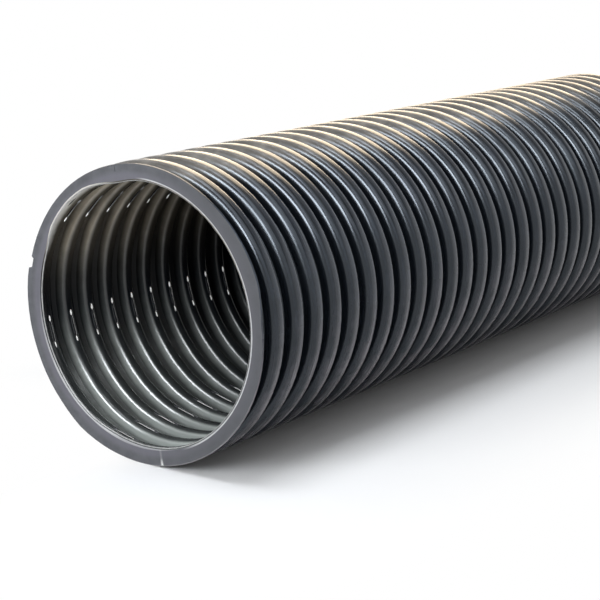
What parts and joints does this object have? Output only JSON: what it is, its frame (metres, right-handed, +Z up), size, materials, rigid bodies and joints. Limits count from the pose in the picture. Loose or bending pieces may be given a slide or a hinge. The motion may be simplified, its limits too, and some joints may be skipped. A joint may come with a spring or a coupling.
{
  "type": "corrugated drainage pipe",
  "caption": "Straight black corrugated plastic drainage pipe, open at both ends, with ring-shaped crests and short narrow drain slots in the valleys between them.",
  "frame": {"origin": "bottom centre of the bounding box: on the floor, under the middle of the pipe's length", "axes": "+X along the pipe from the end with the flat ring to the end with the open crest, +Z up"},
  "size_m": [1, 0.3198, 0.315],
  "materials": {
    "black_polyethylene": "moulded black polyethylene with a soft gloss, slightly dusty, cut ends dull"
  },
  "bodies": {
    "root": {"pipe": "black_polyethylene"}
  },
  "joints": []
}
